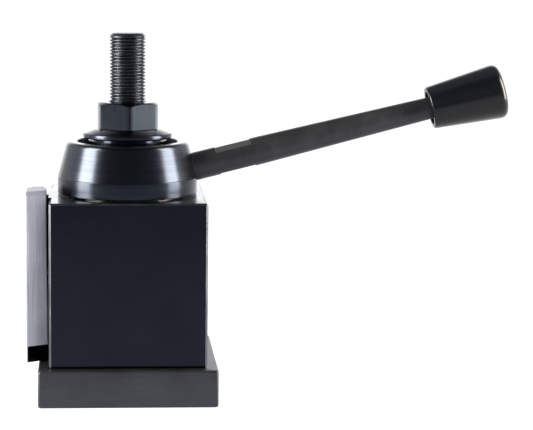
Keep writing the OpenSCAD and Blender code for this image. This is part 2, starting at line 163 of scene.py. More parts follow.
# %% Helper: soften the corners of a closed outline
def soften(corners, setback, steps=4, closed=True):
    """Replaces each corner of a flat outline by a short curve of `steps` + 1 points.

    The curve starts `setback` before the corner and ends as far after it, but never takes more than 0.45 of
    an edge. A point at share s is (1 - s)^2 times its start, plus 2 s (1 - s) times the corner, plus s^2
    times its end. With `closed` off, the first and the last point stay as they are.
    """
    p = np.asarray(corners, float)
    back, on = np.roll(p, 1, 0) - p, np.roll(p, -1, 0) - p
    reach = np.broadcast_to(np.asarray(setback, float), (len(p),))[:, None]
    length_b, length_o = (np.linalg.norm(v, axis=1, keepdims=True) for v in (back, on))
    start = p + back / length_b * np.minimum(reach, 0.45 * length_b)
    end = p + on / length_o * np.minimum(reach, 0.45 * length_o)
    s = np.linspace(0, 1, steps + 1)[None, :, None]
    curve = (1 - s) ** 2 * start[:, None] + 2 * s * (1 - s) * p[:, None] + s**2 * end[:, None]
    if closed:
        return curve.reshape(-1, 2)
    return np.concatenate([p[:1], curve[1:-1].reshape(-1, 2), p[-1:]])


# %% [markdown]
# ## Turned pieces
# The hub and the washer are turned on a lathe, and the mould of the knob was. Each is a profile spun about an
# axis, and we do the same with numbers. The profile gives a radius and a height for each ring. Its points
# run up the outside and down the inside, so that the faces point outwards.

# %% Helper: spin a profile
def turned(profile, columns=128):
    """Rings for a profile of (radius, height) points spun about the Z axis."""
    profile = np.asarray(profile, float)
    a = ring_angles(columns)
    r, z = profile[:, 0, None], profile[:, 1, None]
    return np.stack([r * np.cos(a), r * np.sin(a), z + 0 * a], -1)


# %% [markdown]
# ## Colours and shader nodes
# Colours are easiest to read as sRGB hex values, the way a picture shows them, but a renderer adds up light
# and needs linear values. One function does that conversion for every colour in the file. Another one adds
# a shader node with its settings and links, so that a material reads like a parts list.

# %% Helpers: linear colour, a node, a material
def linear(hex_colour):
    """Linear RGBA from sRGB hex: each part is divided by 12.92 near black, or follows a 2.4 power."""
    c = np.array([int(hex_colour[i : i + 2], 16) / 255 for i in (1, 3, 5)])
    c = np.where(c <= 0.04045, c / 12.92, ((c + 0.055) / 1.055) ** 2.4)
    return (*c.tolist(), 1.0)


def add(tree, kind, inputs=None, **settings):
    """Adds a shader node. `settings` are its properties, and `inputs` gives a socket a value or a link."""
    node = tree.nodes.new("ShaderNode" + kind)
    for key, value in settings.items():
        setattr(node, key, value)
    for key, value in (inputs or {}).items():
        if isinstance(value, bpy.types.NodeSocket):
            tree.links.new(value, node.inputs[key])
        else:
            node.inputs[key].default_value = value
    return node


def new_material(name):
    """An empty node material, and its tree."""
    material = bpy.data.materials.new(name)
    material.use_nodes = True
    material.node_tree.nodes.clear()
    return material, material.node_tree


def finish_with(tree, **sockets):
    """Ends a material: a Principled shader with these sockets set or linked, into the output."""
    shader = add(tree, "BsdfPrincipled", {k.replace("_", " "): v for k, v in sockets.items()})
    add(tree, "OutputMaterial", {"Surface": shader.outputs[0]})


# %% [markdown]
# ## Metal that was cut, ground or turned
# All the steel here shares one recipe with different numbers. A tool leaves marks along its own direction,
# so the pattern is noise that is stretched: short across the marks and long along them. The same noise
# shifts the colour a little, varies the roughness, and lifts and lowers the surface. A second, much larger
# noise makes the cloudy patches that blackening leaves. On a turned piece the marks run round the axis, so
# the pattern is read from the distance to the axis and the height along it.
#
# Real grinding lines are a few hundredths of a millimetre apart and can't show at this size. The spacings
# below are drawn a good deal coarser, so that the direction of the work can be seen.

# %% Recipe: worked steel
def worked_steel(
    name, dark, light, marks, rough, lift, on_lathe=False, cloud=9.0, cloud_share=0.5, metal=1.0, stretch=0.0
):
    """A metal with tool marks.

    dark, light: hex colours between which the marks and the clouds shift the surface.
    marks: spacing of the pattern along X, Y and Z in millimetres, or for a lathe along radius, nothing and
        height. rough: lowest and highest roughness. lift: height of the marks in millimetres.
    on_lathe: whether the marks run round the upright axis.
    cloud: size of the cloudy patches in millimetres, which have `cloud_share` of the colour's shift.
    metal: how metallic it is. stretch: how far highlights are drawn out along Z, across marks round the axis.
    """
    material, tree = new_material(name)
    place = add(tree, "TexCoord").outputs["Object"]
    pattern = place
    if on_lathe:
        flat = add(tree, "VectorMath", {0: place, 1: (1, 1, 0)}, operation="MULTIPLY")
        radius = add(tree, "VectorMath", {0: flat.outputs[0]}, operation="LENGTH").outputs["Value"]
        height = add(tree, "SeparateXYZ", {0: place}).outputs["Z"]
        pattern = add(tree, "CombineXYZ", {"X": radius, "Z": height}).outputs[0]
    scale = [1 / (m * MM) for m in marks]
    stretched = add(tree, "VectorMath", {0: pattern, 1: scale}, operation="MULTIPLY").outputs[0]
    lines = add(tree, "TexNoise", {"Vector": stretched, "Scale": 1.0, "Detail": 3.0}).outputs["Fac"]
    patches = add(tree, "TexNoise", {"Vector": place, "Scale": 1 / (cloud * MM), "Detail": 2.0})
    both = add(
        tree, "Mix", {"Factor": cloud_share, "A": lines, "B": patches.outputs["Fac"]}, data_type="FLOAT"
    ).outputs[0]
    spread = add(tree, "MapRange", {"Value": both, "From Min": 0.35, "From Max": 0.65}).outputs[0]
    colour = add(tree, "ValToRGB", {"Fac": spread})
    colour.color_ramp.elements[0].color = linear(dark)
    colour.color_ramp.elements[1].color = linear(light)
    gloss = add(tree, "MapRange", {"Value": spread, "To Min": rough[0], "To Max": rough[1]}).outputs[0]
    relief = add(tree, "Bump", {"Height": lines, "Distance": lift * MM, "Strength": 1.0}).outputs[0]
    looks = {"Base_Color": colour.outputs[0], "Metallic": metal, "Roughness": gloss, "Normal": relief}
    if stretch:
        looks |= {"Anisotropic": stretch, "Tangent": add(tree, "CombineXYZ", {"Z": 1.0}).outputs[0]}
    finish_with(tree, **looks)
    return material


# %% [markdown]
# ## The finishes
# Each finish is named for the metal and the way it was made. Black oxide is a thin skin of magnetite, as
# dark as ink seen straight on and bright at a glancing angle, which is how a metal with a very dark base
# colour behaves. Where it lies over ground steel it is smooth and deep, where it lies over milled steel it
# is greyer and satin. The gibs are left bright, because the oxide would rub off where they slide.

# %% The finishes
# Ground and blackened: near-black with a blue cast, smooth, with hardly any visible marks
ground_black = worked_steel(
    "ground_black_oxide_steel", "#1b1d25", "#1f222a", (2.0, 30.0, 0.5), (0.2, 0.26), 0.0006, cloud=20.0
)
# Milled and blackened: a satin grey that spreads its highlights, a little blotchy
milled_black = worked_steel(
    "milled_black_oxide_steel", "#393a40", "#404248", (12.0, 12.0, 0.7), (0.4, 0.46), 0.002, cloud=14.0
)
# Turned, polished and blackened. The fine rings round it scatter light up and down far more than sideways,
# so a lamp's reflection is drawn out into a tall streak: that is what the stretch does
turned_black = worked_steel(
    "turned_black_oxide_steel", "#21252d", "#2c3039", (0.35, 1.0, 0.35), (0.21, 0.27), 0.0018,
    on_lathe=True, cloud=12.0, cloud_share=0.3, stretch=0.6,
)
# The nut: bar stock, blackened satin, one flat light and its neighbour dark
bar_black = worked_steel(
    "satin_black_oxide_bar", "#21242b", "#262b33", (0.8, 0.8, 8.0), (0.19, 0.23), 0.0006, cloud=18.0,
    cloud_share=0.6,
)
# The stud: rolled threads are smooth, and oil in them keeps them dark
rolled_black = worked_steel(
    "rolled_black_oxide_thread", "#2b2d35", "#393c45", (0.5, 0.5, 2.0), (0.32, 0.4), 0.0006, cloud=4.0
)
# Bright ground steel: silvery, with lines along the way that the gib was ground. A full metal would mirror
# the black post beside it and look black itself. Fine grinding scatters light from all sides instead, and
# a low metallic value stands for that
bright_ground = worked_steel(
    "bright_ground_steel", "#b0b2bb", "#d6d7de", (0.5, 0.5, 30.0), (0.42, 0.52), 0.004, cloud=16.0,
    cloud_share=0.45, metal=0.3,
)
# Plain turned steel for the pieces inside
plain_turned = worked_steel(
    "plain_turned_steel", "#85878c", "#a4a6ab", (0.4, 1.0, 0.4), (0.3, 0.42), 0.003, on_lathe=True
)
# Turned brass for the insert in the knob
turned_brass = worked_steel(
    "turned_brass", "#b98f45", "#d9b468", (0.5, 0.5, 0.5), (0.25, 0.35), 0.002, cloud=3.0
)
print("materials:", len(bpy.data.materials))

# %% [markdown]
# ## The handle's own frame
# The handle leans outwards and upwards from the hub. It is easiest to build it standing up, along Z, and then
# to lay it over. The matrix below turns the Z axis about Y by the complement of the handle's tilt, and its
# origin is the point where the rod's axis meets the hub's axis.

# %% The handle's frame
handle_tilt = math.radians(14.1)
handle_rise = 4.0
handle_turn = math.pi / 2 - handle_tilt
handle_from = np.array([0.0, 0.0, hub_lo[2] + handle_rise])


def along_handle(rings):
    """Lays rings that stand along Z over into the handle's frame: turned about Y, then moved to its start."""
    c, s = math.cos(handle_turn), math.sin(handle_turn)
    turn = np.array([[c, 0, s], [0, 1, 0], [-s, 0, c]])
    return rings @ turn.T + handle_from


# Blackened bar, left matte: the forged look of a handle that is meant to be held
matte_black = worked_steel(
    "matte_black_oxide_bar", "#34353a", "#3d3e43", (1.0, 1.0, 20.0), (0.46, 0.54), 0.004,
    cloud=10.0, cloud_share=0.6,
)
print("handle starts at", np.round(handle_from, 2), "mm")

# %% [markdown]
# ## Moulded plastic and rubber
# The knob is phenolic plastic, hard and glossy like a billiard ball. It has colour below its surface and a
# clear mirror on top, so it is not a metal: metallic stays 0 and the index of refraction is that of the
# resin. The mould leaves a faint waviness, which bends the reflections slightly. The seal is rubber, which
# is the same idea with almost no gloss.

# %% Recipe: moulded material
def moulded(name, dark, light, wave, rough, lift, ior, shine=0.5):
    """A plastic or a rubber. `wave` is the size of its waviness and `lift` its height, in millimetres.

    `shine` is the specular level, 0.5 for a clean surface and less for one that is dulled by handling.
    """
    material, tree = new_material(name)
    place = add(tree, "TexCoord").outputs["Object"]
    noise = add(tree, "TexNoise", {"Vector": place, "Scale": 1 / (wave * MM), "Detail": 2.0}).outputs["Fac"]
    colour = add(tree, "ValToRGB", {"Fac": noise})
    colour.color_ramp.elements[0].color = linear(dark)
    colour.color_ramp.elements[1].color = linear(light)
    gloss = add(tree, "MapRange", {"Value": noise, "To Min": rough[0], "To Max": rough[1]}).outputs[0]
    relief = add(tree, "Bump", {"Height": noise, "Distance": lift * MM, "Strength": 1.0}).outputs[0]
    finish_with(
        tree, Base_Color=colour.outputs[0], Roughness=gloss, IOR=ior, Specular_IOR_Level=shine, Normal=relief
    )
    return material


phenolic = moulded("glossy_moulded_phenolic", "#04050a", "#080a10", 3.0, (0.2, 0.26), 0.003, 1.5, 0.25)
nitrile = moulded("matte_nitrile_rubber", "#141414", "#1d1d1c", 0.6, (0.6, 0.75), 0.01, 1.5)

# %% [markdown]
# ## The base plate
# The plate is a square blank of milled steel that the owner later cuts to fit the lathe's T-slot. All its
# edges are broken. A cube with a Bevel modifier would do, but the stud's hole would be missing, so we carry
# a profile instead: from the middle of the underside out to the edge, up the side, and in again to the
# hole. Each ring is the same square, drawn in by a different amount, and the last rings are circles.

# %% The base plate
def square_ring(half, corner, steps=8):
    """A square outline with rounded corners, counter-clockwise, starting near the corner at +X +Y."""
    return soften([[half, half], [-half, half], [-half, -half], [half, -half]], corner, steps)


def circle_like(outline, radius):
    """A circle with a point in the direction of each point of the outline: its unit vector times radius."""
    return outline / np.linalg.norm(outline, axis=1, keepdims=True) * radius


def at_height(outline, z):
    """A flat outline lifted to height z."""
    return np.column_stack([outline, np.full(len(outline), float(z))])


plate_half = plate_hi[0]
plate_top = plate_hi[2]
plate_edge = 0.9
plate_corner = 1.4
stud_r = stud_hi[0]
stud_floor = stud_lo[2]
edge_turn = np.linspace(0, np.pi / 2, 5)
lower = [(plate_edge * (1 - math.sin(t)), plate_edge * (1 - math.cos(t))) for t in edge_turn]
upper = [(d, plate_top - z) for d, z in reversed(lower)]
plate_rings = [at_height(square_ring(plate_half - d, plate_corner), z) for d, z in lower + upper]
rim = square_ring(plate_half, plate_corner)
hole_mouth = 0.8
plate_rings += [
    at_height(circle_like(rim, stud_r + hole_mouth), plate_top),
    at_height(circle_like(rim, stud_r), plate_top - hole_mouth),
    at_height(circle_like(rim, stud_r), stud_floor),
]
points, faces = skin(np.array(plate_rings), start_pole=True, end_pole=True)
plate = make_object("base_plate_blank", points, faces, "base", "base_plate")
plate.data.materials.append(milled_black)

# %% [markdown]
# ## The stud and its thread
# The stud is rolled with a fine thread, 1.5 mm from one turn to the next. A spiral could be made with the
# Screw modifier, but a formula is simpler: the radius depends only on how far a point is along one turn of
# the thread. That share is its height divided by the pitch, less its angle divided by a full turn. The
# radius falls and rises in straight flanks between a flat crest and a rounded root. The chamfer at the tip
# is the smaller of the thread's radius and a cone.

# %% The stud
thread_pitch = 1.5
thread_depth = 0.92
crest_share, flank_share = 0.25, 0.65
root_curve = 0.35
thread_below_washer = 10
run_in_turns = 2
tip_chamfer = 1.2
tip_plain = 0.9


def thread_radius(angle, z, crest, top):
    """The thread's radius: crest less depth times a clipped triangle wave, never outside the tip's cone.

    The wave is blended with a cosine by `root_curve`, which rounds the root.
    """
    share = (z / thread_pitch - angle / (2 * np.pi)) % 1.0
    flank = np.abs(share - 0.5) * 2
    wave = np.clip((flank - crest_share) / flank_share, 0, 1)
    rounded = 0.5 - 0.5 * np.cos(np.pi * wave)
    cut = (1 - root_curve) * wave + root_curve * rounded
    cone = crest - tip_chamfer + (top - z)
    end = np.clip((top - tip_plain - z) / thread_pitch, 0, 1)
    return np.minimum(crest - thread_depth * cut * end, cone)


stud_top = stud_hi[2]
thread_from = washer_lo[2] - thread_below_washer
rows_per_turn = 16
stud_columns = 96
a = ring_angles(stud_columns)[None, :]
thread_rows = int((stud_top - thread_from) / thread_pitch * rows_per_turn) + 1
z = np.linspace(thread_from, stud_top, thread_rows)[:, None]
r = thread_radius(a, z, stud_r, stud_top)
fade = np.clip((z - thread_from) / (run_in_turns * thread_pitch), 0, 1)
r = stud_r - (stud_r - r) * fade
threaded = np.stack([r * np.cos(a), r * np.sin(a), z + 0 * a], -1)
shank = turned([[stud_r - tip_chamfer, stud_floor], [stud_r, stud_floor + tip_chamfer]], stud_columns)
points, faces = skin(np.concatenate([shank, threaded]), start_pole=True, end_pole=True)
stud = make_object("threaded_clamp_stud", points, faces, "base", "clamp_stud", sharp=50)
stud.data.materials.append(rolled_black)

# %% [markdown]
# ## The nut
# A nut is a hexagon whose top was chamfered on a lathe, which leaves a curved line across each flat. That
# line needs no boolean. For each direction we know how far out the hexagon is, and a cone tells how high
# the metal stands there: the further out, the lower. So the outer wall of each column simply stops at its
# own height, and the next ring is the circle on top.

# %% The nut
nut_flat = 26.0
nut_corner = 0.4
nut_first = math.radians(-87)
nut_edge = 0.6
nut_slope = math.tan(math.radians(30))
corners = nut_first + np.arange(6) * math.pi / 3
corner_r = nut_flat / math.sqrt(3)
steps_per_flat = 10
longest_corner_gap = 2.0
hexagon = soften(corner_r * np.column_stack([np.cos(corners), np.sin(corners)]), nut_corner, 4)
gaps = np.roll(hexagon, -1, 0) - hexagon
steps = np.where(np.linalg.norm(gaps, axis=1) > longest_corner_gap, steps_per_flat, 1)
hexagon = np.concatenate(
    [p + g * np.arange(n)[:, None] / n for p, g, n in zip(hexagon, gaps, steps)]
)
nut_z0, nut_z1 = nut_lo[2], nut_hi[2]
face_r = nut_flat / 2 - nut_edge
out = np.linalg.norm(hexagon, axis=1)
shoulder = nut_z1 - (out - face_r) * nut_slope
foot_soft, foot_face = 0.25, 0.4
line_soft, line_rise = 0.12, 0.05
rim_out, rim_in, rim_drop = 0.1, 0.15, 0.06
nut_bore = stud_r + 0.05
bore_mouth = 0.8


def shrink(outline, amount):
    """An outline with each point drawn towards the axis by an amount."""
    return outline * (1 - amount / np.linalg.norm(outline, axis=1, keepdims=True))


nut_rings = [
    at_height(circle_like(hexagon, nut_bore + bore_mouth), nut_z0),
    at_height(circle_like(hexagon, face_r - foot_face), nut_z0),
    at_height(shrink(hexagon, foot_soft), nut_z0),
    at_height(hexagon, nut_z0 + foot_soft),
    np.column_stack([hexagon, shoulder - line_soft]),
    np.column_stack([shrink(hexagon, line_soft), shoulder + line_rise]),
    at_height(circle_like(hexagon, face_r + rim_out), nut_z1 - rim_drop),
    at_height(circle_like(hexagon, face_r - rim_in), nut_z1),
    at_height(circle_like(hexagon, nut_bore + bore_mouth), nut_z1),
    at_height(circle_like(hexagon, nut_bore), nut_z1 - bore_mouth),
    at_height(circle_like(hexagon, nut_bore), nut_z0 + bore_mouth),
]
points, faces = skin(np.array(nut_rings), joined=True)
nut = make_object("clamp_nut_hexagon", points, faces, "nut", "clamp_nut", sharp=22)
nut.data.materials.append(bar_black)

# %% [markdown]
# ## The cone washer
# Under the nut sits a thick washer with a cone on top. It is turned, so its profile is all it needs: bore,
# underside, rim, a broken edge, the cone, and the flat where the nut bears.

# %% The cone washer
washer_r = washer_hi[0]
washer_z0, washer_z1 = washer_lo[2], washer_hi[2]
washer_rim = 2.1
washer_flat_r = 14.5
washer_bore = stud_r + 0.1
washer_edge = 0.5
washer_setback = [0.3, 0.2, 0.2, 0.35, 0.3, 0.3]
profile = soften(
    [
        [washer_bore, washer_z0],
        [washer_r - washer_edge, washer_z0],
        [washer_r, washer_z0 + washer_edge],
        [washer_r, washer_z0 + washer_rim],
        [washer_flat_r, washer_z1],
        [washer_bore, washer_z1],
    ],
    washer_setback,
)
points, faces = skin(turned(profile), joined=True)
washer = make_object("cone_washer", points, faces, "washer", "clamp_washer")
washer.data.materials.append(turned_black)

# %% [markdown]
# ## The hub
# The hub is the largest turned piece: a straight band, a small step, a cone, a rounded top and a shallow
# recess. Inside, the drum's spigot fills a bore. The step between the band and the cone is only a quarter
# of a millimetre deep, but its edge draws a light line right round the hub, so it gets its own softened
# corners.

# %% The hub
hub_r = hub_hi[0]
hub_z0, hub_z1 = hub_lo[2], hub_hi[2]
band_top = hub_z0 + 7.6
band_step = 0.25
cone_r = 27.35
top_round = 1.9
recess_r = 22.6
recess_z = hub_z1 - 5.1
neck_r = 15.5
spigot_r = 19.0
spigot_top = hub_z0 + 11.4
hub_corners = [
    [spigot_r, hub_z0],
    [hub_r, hub_z0],
    [hub_r, band_top - band_step],
    [hub_r - band_step, band_top],
    [cone_r - band_step, hub_z1],
    [recess_r, hub_z1],
    [recess_r, recess_z],
    [neck_r, recess_z],
    [neck_r, spigot_top],
    [spigot_r, spigot_top],
]
hub_setback = [0.3, 0.5, 0.12, 0.08, top_round, 0.6, 0.4, 0.3, 0.2, 0.2]
profile = soften(hub_corners, hub_setback, 6)
points, faces = skin(turned(profile, 192), joined=True)
hub = make_object("turned_hub", points, faces, "hub", "hub")
hub.data.materials.append(turned_black)

# %% [markdown]
# ## The handle rod
# The rod is round bar, thick at the hub and tapered towards the knob, with two flats for a wrench near its
# root. In its own frame a ring at distance s is a circle, unless s lies between the ends of the flats. There
# the radius is the smaller of the circle's and the distance to the flat line, which is half the width
# across the flats divided by the cosine of the angle from the flat's own direction. Two rings close
# together at each end make the shoulders.

# %% The handle rod
rod_r, rod_tip_r = 6.3, 4.95
taper_from, knob_from = 61.0, 141.0
flat_from, flat_to = 41.9, 58.4
flat_half = 5.0
flat_turn = math.radians(12.7)
rod_root = (spigot_r + 2.7) / math.cos(handle_tilt)
tenon_from, tenon_to, tenon_r = knob_from + 6.0, knob_from + 22.0, 4.0
shoulder_run = 0.35
root_gap, root_edge, tenon_edge = 0.05, 0.4, 0.5
close_by, tip_edge = 0.02, 0.3
taper_soft, taper_lead, taper_rings = 0.6, 6, 12
before_flats, along_flats = [30, 36], [46, 50, 54]
rod_stations = np.array(
    [rod_root + root_gap, rod_root + root_edge]
    + before_flats
    + [flat_from, flat_from + shoulder_run]
    + along_flats
    + [flat_to - shoulder_run, flat_to, taper_from - taper_soft, taper_from + taper_soft]
    + list(np.linspace(taper_from + taper_lead, knob_from, taper_rings))
    + [tenon_from - tip_edge, tenon_from, tenon_from + close_by, tenon_to - tenon_edge, tenon_to - close_by]
)


def rod_radius(s):
    """The rod's full radius at distance s: straight, then a straight taper, then the plain tenon.

    At its root and at the tenon's end it is drawn in a little, which makes a chamfer.
    """
    r = np.interp(s, [taper_from, knob_from], [rod_r, rod_tip_r])
    r = np.where(s > tenon_from + close_by / 2, tenon_r, r)
    r = np.where(s > tenon_to - tenon_edge + close_by, tenon_r - tenon_edge, r)
    return np.where(s < rod_root + root_edge / 2, rod_r - root_edge, r)


def rod_rings(stations, columns=96):
    """Rings of the rod. Between the ends of the flats a ring is clipped by two lines, a full one inside."""
    a = ring_angles(columns)[None, :]
    s = stations[:, None]
    depth = np.clip(np.minimum(s - flat_from, flat_to - s) / shoulder_run, 0, 1)
    line = flat_half / np.maximum(np.abs(np.cos(a - flat_turn)), 1e-6)
    full = rod_radius(s) + 0 * a
    r = full + (np.minimum(full, line) - full) * depth
    return np.stack([r * np.cos(a), r * np.sin(a), s + 0 * a], -1)


points, faces = skin(along_handle(rod_rings(rod_stations)), start_pole=True, end_pole=True)
rod = make_object("handle_rod_bar", points, faces, "hub", "handle_rod", sharp=24)
rod.data.materials.append(matte_black)

# %% [markdown]
# ## The knob
# The knob widens towards its far end, which has a generous rounding. Around the rod it is hollowed out in
# two steps, and the edges of those steps show as thin bright arcs. It is spun like the hub, and then laid
# over with the rod.

# %% The knob
knob_length = 34.0
knob_to = knob_from + knob_length
small_r, large_r = 9.55, 12.35
end_round, lip = 3.0, 0.6
end_r = small_r + (large_r - small_r) * (knob_length - lip) / (knob_length - lip - end_round)
seat_r = rod_tip_r + 0.05
insert_r, insert_length, insert_gap = 6.0, 17.0, 0.5
insert_from = tenon_from + insert_gap
insert_to = insert_from + insert_length
well_r, well_deep = 6.6, 3.5
mouth_r, mouth_deep = 7.5, 1.3
pole_r = 1.0
knob_setback = [0.1, 0.1, 0.1, 0.1, 0.1, 0.3, 0.4, 0.3, 0.5, 0.9, end_round + 1.0, 0.1]
knob_profile = soften(
    [
        [pole_r, insert_to],
        [insert_r, insert_to],
        [insert_r, insert_from],
        [seat_r, insert_from],
        [seat_r, knob_from + well_deep],
        [well_r, knob_from + well_deep],
        [well_r, knob_from + mouth_deep],
        [mouth_r, knob_from + mouth_deep],
        [mouth_r, knob_from],
        [small_r, knob_from],
        [end_r, knob_to],
        [pole_r, knob_to],
    ],
    knob_setback,
    6,
    closed=False,
)
points, faces = skin(along_handle(turned(knob_profile)), start_pole=True, end_pole=True)
knob = make_object("tapered_knob", points, faces, "hub", "knob")
knob.data.materials.append(phenolic)

# %% [markdown]
# ## The gibs
# A gib is a long wedge. Its front flank is upright and carries the dovetail's 60 degree angle, and its back
# lies on a way that leans 5 degrees, so the gib gets wider towards its top. We cut it into level slices.
# Each slice has the same nine corners, and only three things change with height: the place of the back, the
# inner side, which slopes by half a degree, and near the top the chamfer and the rounded corners. A Bevel
# modifier then breaks the edges.

# %% The gibs
flank_slope = math.tan(math.radians(30))
way_slope = math.tan(math.radians(5))
side_slope = math.tan(math.radians(0.5))
gib_out, gib_in = gib_lo[0], gib_hi[0]
gib_front = gib_lo[1]
gib_z0, gib_z1 = gib_lo[2], gib_hi[2]
gib_width = 16.2
body_top = body_hi[2]
outer_edge, inner_edge, file_edge = 0.4, 0.7, 0.2
chamfer_high, chamfer_deep = 1.8, 1.04
corner_in, corner_out = 1.3, 0.7
tongue_x = (gib_out + gib_in) / 2
tongue_half, tongue_flare, tongue_high = 1.6, 1.0, 3.0


def rounded_away(z, radius):
    """How far a side has drawn in at height z below a rounded top corner: radius less a circle's height."""
    high = max(0.0, z - (gib_z1 - radius))
    return radius - math.sqrt(max(radius**2 - high**2, 0.0))


def gib_slice(z):
    """The outline of the left gib at height z, counter-clockwise from above, its corners softened."""
    x_in = gib_in - (z - gib_z0) * side_slope - rounded_away(z, corner_in)
    x_out = gib_out + rounded_away(z, corner_out)
    inset = max(0.0, z - (gib_z1 - chamfer_high)) / chamfer_high * chamfer_deep
    start = gib_front + inset / math.cos(math.radians(30)) - gib_out * flank_slope
    back = gib_front + gib_width - (body_top - z) * way_slope
    tongue_back = back + tongue_high / math.cos(math.radians(5))
    corners = [
        [x_out + outer_edge, start + (x_out + outer_edge) * flank_slope],
        [x_in, start + x_in * flank_slope],
        [x_in, back],
        [tongue_x + tongue_half, back],
        [tongue_x + tongue_half + tongue_flare, tongue_back],
        [tongue_x - tongue_half - tongue_flare, tongue_back],
        [tongue_x - tongue_half, back],
        [x_out, back],
        [x_out, start + x_out * flank_slope + outer_edge],
    ]
    setback = [file_edge, inner_edge] + [file_edge] * 7
    return at_height(soften(corners, setback, 5), z)


plain_levels = [0, 20, 45]
chamfer_left = np.array([0.7, 0.45, 0.25, 0.1, 0.03])
levels = [gib_z0 + up for up in plain_levels] + [gib_z1 - chamfer_high]
levels += list(gib_z1 - chamfer_high * chamfer_left)
gib_rings = np.array([gib_slice(z) for z in levels])
quads = skin(gib_rings)[1]
across = gib_rings.shape[1]
last = across * (len(levels) - 1)
caps = [list(range(across - 1, -1, -1)), list(range(last, last + across))]


def make_gib(name, body, node, on_rear):
    """The left gib from its slices, or for the rear one its mirror image: (x, y) becomes (-y, -x)."""
    points, faces = gib_rings.reshape(-1, 3), quads + caps
    if on_rear:
        points = np.column_stack([-points[:, 1], -points[:, 0], points[:, 2]])
        faces = [f[::-1] for f in faces]
    gib = make_object(name, points, faces, body, node, sharp=20)
    break_edges(gib, width=0.18, sharper_than=26)
    gib.data.materials.append(bright_ground)
    return gib


gibs = [
    make_gib("ground_gib_left", "gib_left", "gib_left", False),
    make_gib("ground_gib_rear", "gib_rear", "gib_rear", True),
]

# %% [markdown]
# ## The post body
# The body is milled from one block, with a bore, two dovetails, two inclined ways and a window behind each
# gib. All of that is already right in the CAD piece, and redoing it would risk a difference. So we take a
# copy, weld its loose triangles together (points within a thousandth of a millimetre), merge areas that are
# flat within 0.6 degrees into whole faces, and let a Bevel modifier break its edges. The CAD piece itself
# stays untouched, and the copy takes its place.

# %% The post body
weld_within = 0.001
flat_within = 0.6
body_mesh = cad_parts["tool_post_body"].data.copy()
body_mesh.name = "dovetailed_post_body"
work = bmesh.new()
work.from_mesh(body_mesh)
bmesh.ops.remove_doubles(work, verts=work.verts, dist=weld_within * MM)
bmesh.ops.dissolve_limit(work, angle_limit=math.radians(flat_within), verts=work.verts, edges=work.edges)
work.to_mesh(body_mesh)
work.free()
body_mesh.materials.clear()
if body_mesh.has_custom_normals:
    # A normal of nothing means that Blender works it out from the welded faces
    body_mesh.normals_split_custom_set([(0, 0, 0)] * len(body_mesh.loops))
smooth_except(body_mesh, sharp=25)
post_body = add_piece("dovetailed_post_body", body_mesh, "post", "tool_post_body")
post_body.data.materials.append(ground_black)
break_edges(post_body, width=0.12, sharper_than=28)

# %% [markdown]
# The chamfers get a lighter colour than the faces: a painted highlight for the light that a broken edge
# catches.
# We find them by their normals: on a chamfer two parts of the normal are equal and the third is zero. The
# faces that pass this test and lie close to one of the block's four sides get the second material, the
# painted highlight.

# %% Chamfers with a painted highlight
# Painted highlight: the chamfers' lighter, slightly patchy colour stands in for the light that a broken edge
# catches
painted_highlight_chamfer = worked_steel(
    "chamfer_painted_highlight_oxide", "#3b3d45", "#494c54", (3.0, 3.0, 14.0), (0.26, 0.32), 0.001, cloud=12.0
)
post_body.data.materials.append(painted_highlight_chamfer)
face_count = len(post_body.data.polygons)
normals = np.empty(face_count * 3, np.float32)
centres = np.empty(face_count * 3, np.float32)
post_body.data.polygons.foreach_get("normal", normals)
post_body.data.polygons.foreach_get("center", centres)
normals, centres = np.abs(normals.reshape(-1, 3)), centres.reshape(-1, 3) / MM
block_half = -body_lo[1]
chamfer_reach, nearly = 1.1, 0.05
near_side = np.abs(np.abs(centres[:, :2]) - block_half).min(1) < chamfer_reach
ordered = np.sort(normals, axis=1)
chamfers = near_side & (ordered[:, 0] < nearly) & (np.abs(ordered[:, 2] - math.sqrt(0.5)) < nearly)
post_body.data.polygons.foreach_set("material_index", chamfers.astype(np.int32))
print("chamfer faces:", int(chamfers.sum()))

# %% [markdown]
# ## The pieces inside
# The sleeve, drum, collar, pins and screws are hidden when the post is locked, and some of them come into
# view when the hub rises. Their CAD shapes are right as they are. They only need a finish.

# %% Finishes for the inner pieces
inner_finish = {
    plain_turned: ["sleeve_dowels", "lift_collar_left", "lift_collar_rear", "lift_drum", "hub_drive_pins"],
    rolled_black: ["sleeve_screws"],
    bar_black: ["retaining_ring", "gib_left_pin", "gib_rear_pin"],
    turned_black: ["centre_sleeve"],
    nitrile: ["drum_seal"],
    turned_brass: ["knob_insert"],
}
for material, names in inner_finish.items():
    for name in names:
        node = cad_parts[name]
        node.data.materials.clear()
        node.data.materials.append(material)
print("inner pieces:", sum(len(names) for names in inner_finish.values()))

# %% [markdown]
# ## The studio
# Black polished metal shows hardly any colour of its own: it is a mirror of the room. So the room is the
# real material. A tall soft lamp stands at each side of the post and draws the bright streaks down the hub.
# The room itself is a gradient in the world's shader, read from the direction of the ray: dark in front,
# which keeps the front face and the middle of the hub deep, bright round the sides, and dimmer straight
# behind and overhead. The camera alone sees plain white walls.
#
# Two things here could not be done in a real studio. The floor glows by itself, so that it stays evenly pale
# however little light reaches it, and it ends a short way in front of the post, because a bright floor there
# would shine in every upright face. And the lamps are linked to what they light: the two side lamps leave
# the gibs out, and a weak third one lights nothing else. The gibs are bright metal among black, and this
# lets their light be set on its own.

